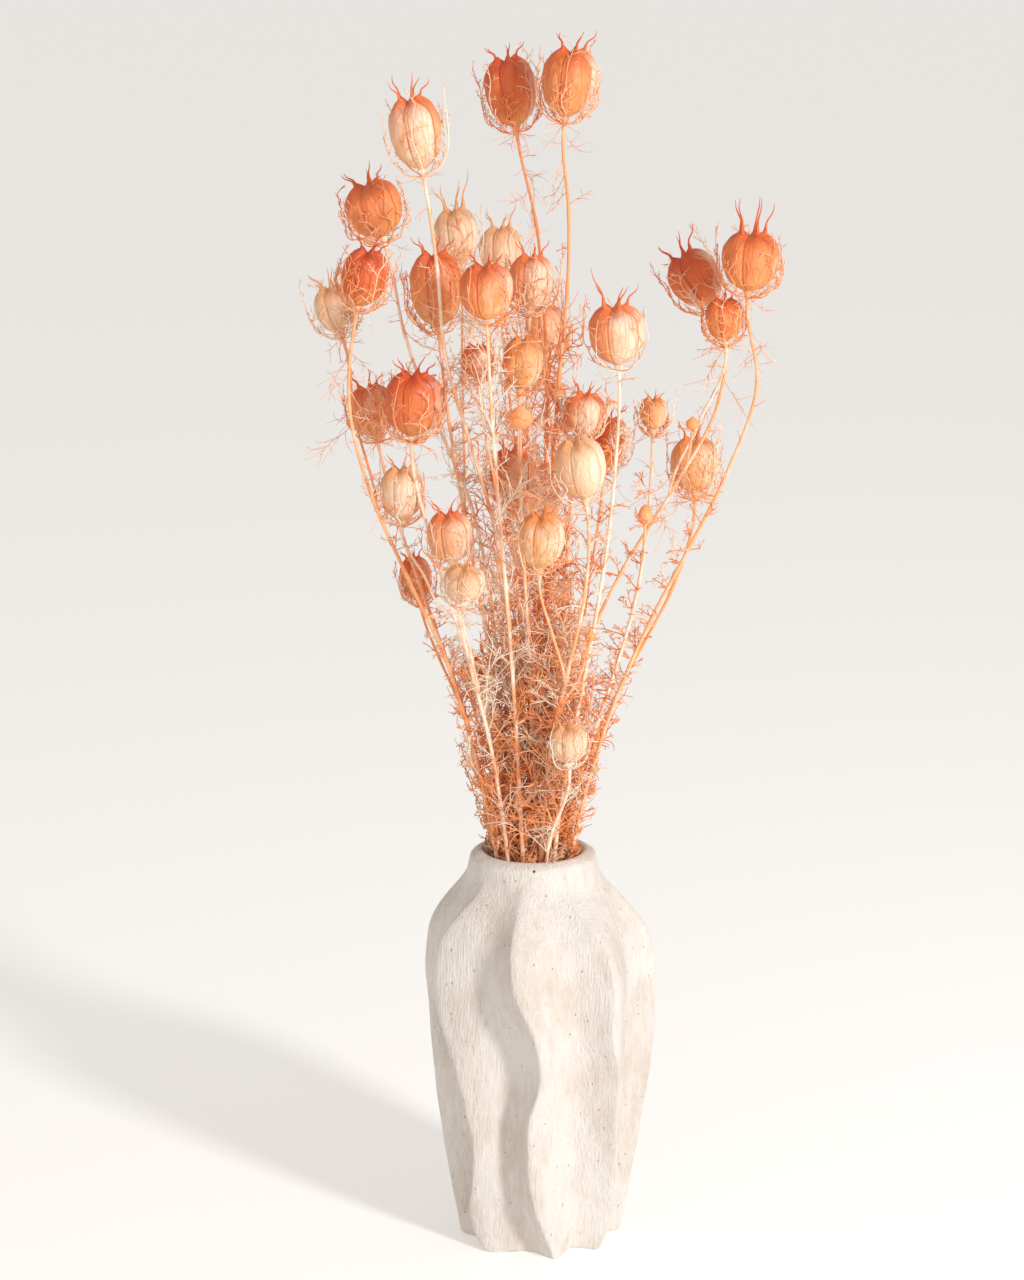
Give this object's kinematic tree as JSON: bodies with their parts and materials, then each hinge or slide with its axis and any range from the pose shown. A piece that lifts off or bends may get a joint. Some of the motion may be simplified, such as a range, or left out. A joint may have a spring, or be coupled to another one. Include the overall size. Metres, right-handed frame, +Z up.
{
  "type": "dried nigella seed pods in a vase",
  "caption": "Dried nigella seed pods, papery horned capsules in thread-like bracts on thin stems, standing together in an off-white clay vase with wavy upright ridges.",
  "frame": {"origin": "centre of the vase's flat foot, where it rests", "axes": "+Z up, -Y towards the side that the picture shows"},
  "size_m": [0.21, 0.1646, 0.5387],
  "materials": {
    "vase": "rough brushed matte clay",
    "stem": "dry peach stem, matte",
    "pod_deep": "papery dried skin, satin",
    "pod_orange": "papery dried skin, satin",
    "pod_ochre": "papery dried skin, satin",
    "pod_peach": "papery dried skin, satin",
    "pod_cream": "papery dried skin, satin"
  },
  "bodies": {
    "root": {"vase": "vase", "stem_01": "stem", "stem_02": "stem", "stem_03": "stem", "stem_04": "stem", "stem_05": "stem", "stem_06": "stem", "stem_07": "stem", "stem_08": "stem", "stem_09": "stem", "stem_10": "stem", "stem_11": "stem", "stem_12": "stem", "stem_13": "stem", "stem_14": "stem", "stem_15": "stem", "stem_16": "stem", "stem_17": "stem", "stem_18": "stem", "stem_19": "stem", "stem_20": "stem", "stem_21": "stem", "stem_22": "stem", "stem_23": "stem", "pod_01": "pod_deep", "pod_02": "pod_orange", "pod_03": "pod_peach", "pod_04": "pod_orange", "pod_05": "pod_deep", "pod_06": "pod_cream", "pod_07": "pod_cream", "pod_08": "pod_orange", "pod_09": "pod_cream", "pod_10": "pod_orange", "pod_11": "pod_peach", "pod_12": "pod_peach", "pod_13": "pod_deep", "pod_14": "pod_orange", "pod_15": "pod_orange", "pod_16": "pod_orange", "pod_17": "pod_ochre", "pod_18": "pod_peach", "pod_19": "pod_orange", "pod_20": "pod_deep", "pod_21": "pod_peach", "pod_22": "pod_deep", "pod_23": "pod_cream", "pod_24": "pod_ochre", "pod_25": "pod_ochre", "pod_26": "pod_orange", "pod_27": "pod_cream", "pod_28": "pod_peach", "pod_29": "pod_orange", "pod_30": "pod_cream", "pod_31": "pod_ochre", "pod_32": "pod_cream", "pod_33": "pod_orange", "pod_34": "pod_orange"}
  },
  "joints": []
}
